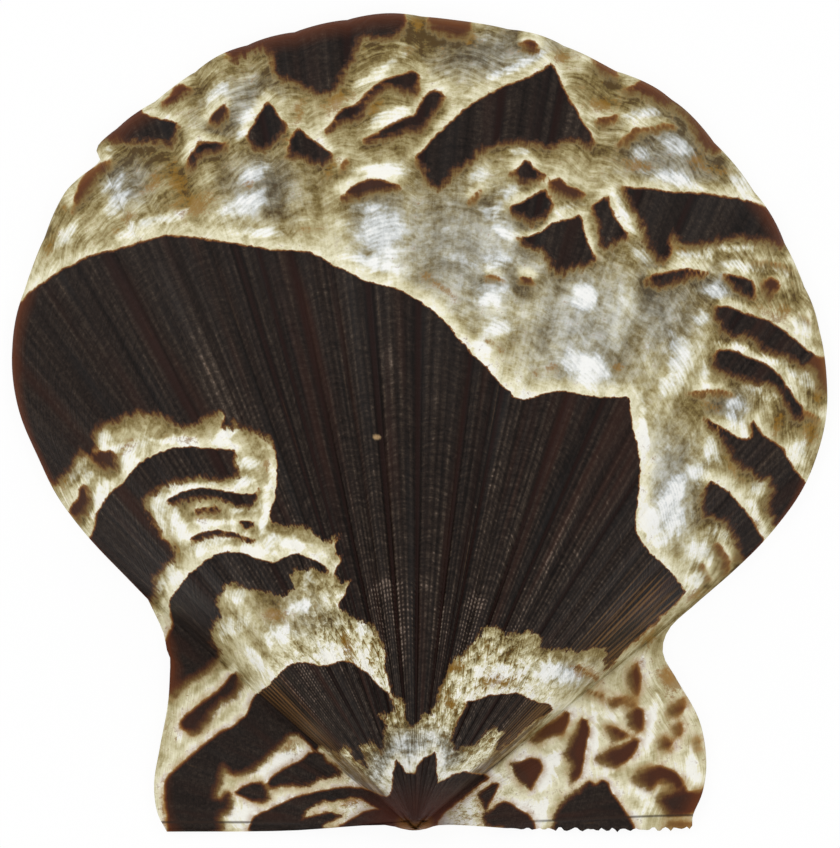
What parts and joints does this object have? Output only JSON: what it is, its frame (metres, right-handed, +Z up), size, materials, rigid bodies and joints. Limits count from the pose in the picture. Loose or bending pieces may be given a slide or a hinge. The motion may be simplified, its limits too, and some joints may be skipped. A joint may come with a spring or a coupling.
{
  "type": "scallop shell",
  "caption": "Fan-shaped ribbed scallop valve with unequal ears, a pointed beak and dark zigzag markings, lying hollow side down.",
  "frame": {"origin": "middle of the bounding box in X and Y, on the table plane that the rim rests on", "axes": "+Z up through the outer face of the dome, +Y from the hinge to the far edge, +X towards the ear with the notch under it"},
  "size_m": [0.0254, 0.0256, 0.0055],
  "materials": {
    "shell": "satin"
  },
  "bodies": {
    "root": {"shell_valve": "shell"}
  },
  "joints": []
}
